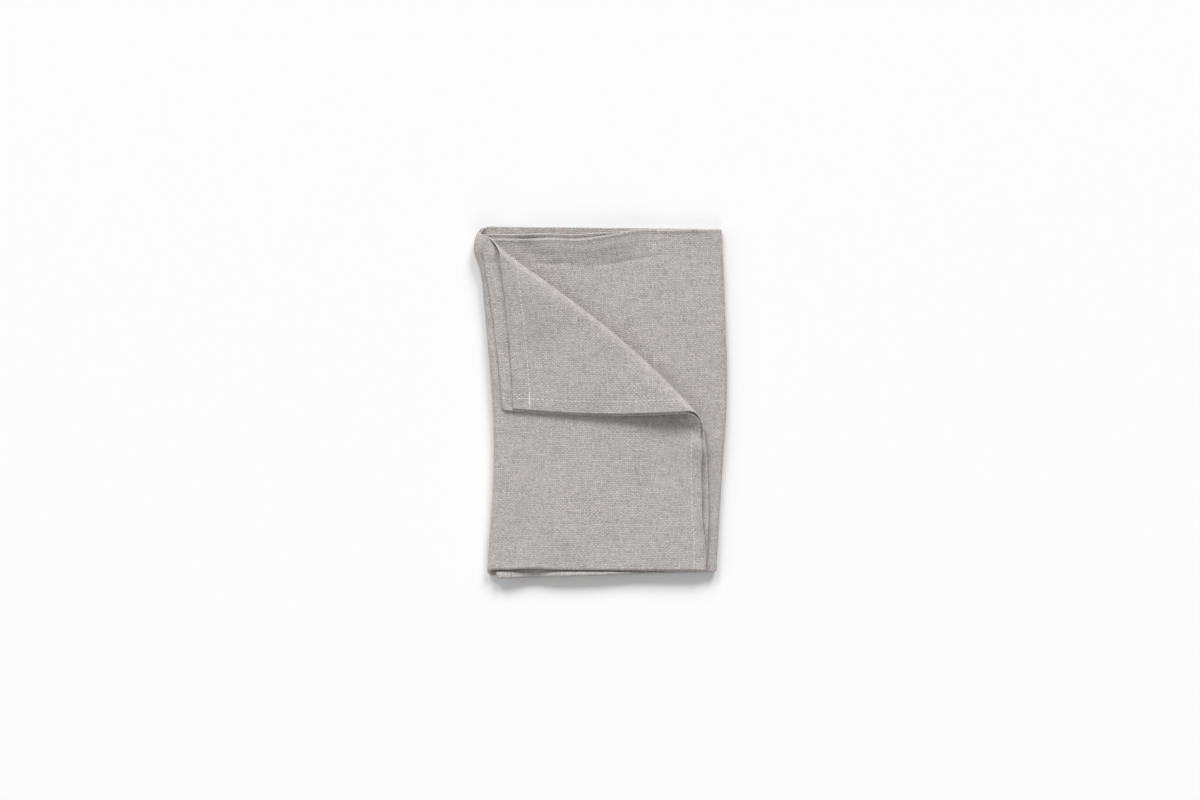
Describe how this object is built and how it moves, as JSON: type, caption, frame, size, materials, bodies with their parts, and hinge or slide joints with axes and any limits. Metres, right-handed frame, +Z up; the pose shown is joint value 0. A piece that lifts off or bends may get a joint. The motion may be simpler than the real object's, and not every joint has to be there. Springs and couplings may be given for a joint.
{
  "type": "folded cloth napkin",
  "caption": "Cloth table napkin with sewn hems, halved and letter-folded into a flat rectangle, the upper corner of its top panel turned back on a soft diagonal roll.",
  "frame": {"origin": "middle of the folded napkin's outline, on the surface it lies on", "axes": "+Z up from that surface, +Y along the fold's long side from the half fold to the loose hems, +X from the left fold to the right fold"},
  "size_m": [0.1631, 0.2269, 0.0185],
  "materials": {
    "cloth": "matte"
  },
  "bodies": {
    "root": {"napkin": "cloth"}
  },
  "joints": []
}
